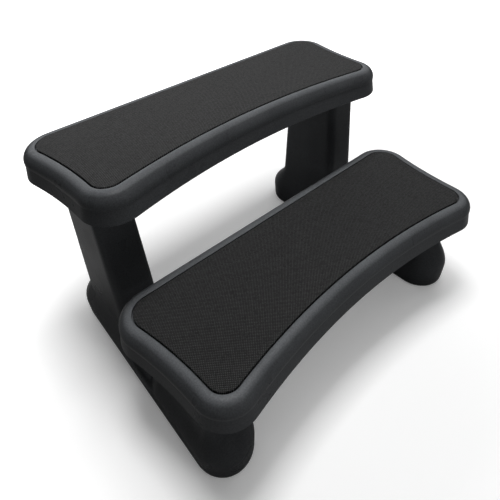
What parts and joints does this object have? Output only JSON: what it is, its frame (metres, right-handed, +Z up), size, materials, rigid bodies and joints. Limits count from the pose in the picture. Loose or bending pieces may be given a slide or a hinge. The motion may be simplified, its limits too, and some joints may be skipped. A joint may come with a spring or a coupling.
{
  "type": "spa steps",
  "caption": "Freestanding two-tread moulded steps for a spa: kidney-shaped treads with inlaid anti-slip mats on two hollow side supports with flared feet.",
  "frame": {"origin": "middle of the footprint, on the floor under the foot pads", "axes": "+X along the treads to the right as one climbs, -Y towards the low front step, +Z up"},
  "size_m": [0.6854, 0.5026, 0.4148],
  "materials": {
    "tread_plastic": "satin charcoal, fine grain",
    "support_plastic": "satin charcoal, fine grain",
    "mat_rubber": "matt with a fine square weave",
    "pad_rubber": "matt",
    "fastener_steel": "stainless",
    "insert_brass": "plain"
  },
  "bodies": {
    "root": {"lower_tread": "tread_plastic", "upper_tread": "tread_plastic", "lower_mat": "mat_rubber", "upper_mat": "mat_rubber", "left_support": "support_plastic", "right_support": "support_plastic", "front_left_foot_pad": "pad_rubber", "front_right_foot_pad": "pad_rubber", "rear_left_foot_pad": "pad_rubber", "rear_right_foot_pad": "pad_rubber", "front_left_screws": "fastener_steel", "front_right_screws": "fastener_steel", "rear_left_screws": "fastener_steel", "rear_right_screws": "fastener_steel", "front_left_washers": "fastener_steel", "front_right_washers": "fastener_steel", "rear_left_washers": "fastener_steel", "rear_right_washers": "fastener_steel", "front_left_inserts": "insert_brass", "front_right_inserts": "insert_brass", "rear_left_inserts": "insert_brass", "rear_right_inserts": "insert_brass"}
  },
  "joints": []
}
